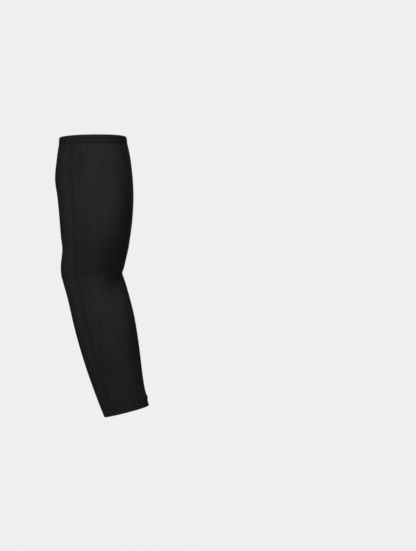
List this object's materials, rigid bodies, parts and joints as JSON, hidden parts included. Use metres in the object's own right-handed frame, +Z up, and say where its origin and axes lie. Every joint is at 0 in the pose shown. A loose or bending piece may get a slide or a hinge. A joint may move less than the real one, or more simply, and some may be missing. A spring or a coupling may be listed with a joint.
{
  "type": "arm sleeve",
  "caption": "Close-fitting stretch-knit arm sleeve, slightly bent at the elbow, with flat seams down both sides and a turned hem at each open end.",
  "frame": {"origin": "centre of the upper opening, where the upper arm leaves the sleeve", "axes": "+Z up along the upper arm towards the shoulder, +X to the biceps side, -X to the elbow side, -Y to the arm's outer side, +Y to its inner side"},
  "size_m": [0.1411, 0.101, 0.4228],
  "materials": {
    "knit": "matt with a faint sheen",
    "seam_thread": "matt"
  },
  "bodies": {
    "root": {"front_panel": "knit", "elbow_panel": "knit", "outer_seam": "seam_thread", "inner_seam": "seam_thread", "upper_hem": "knit", "wrist_hem": "knit"}
  },
  "joints": []
}
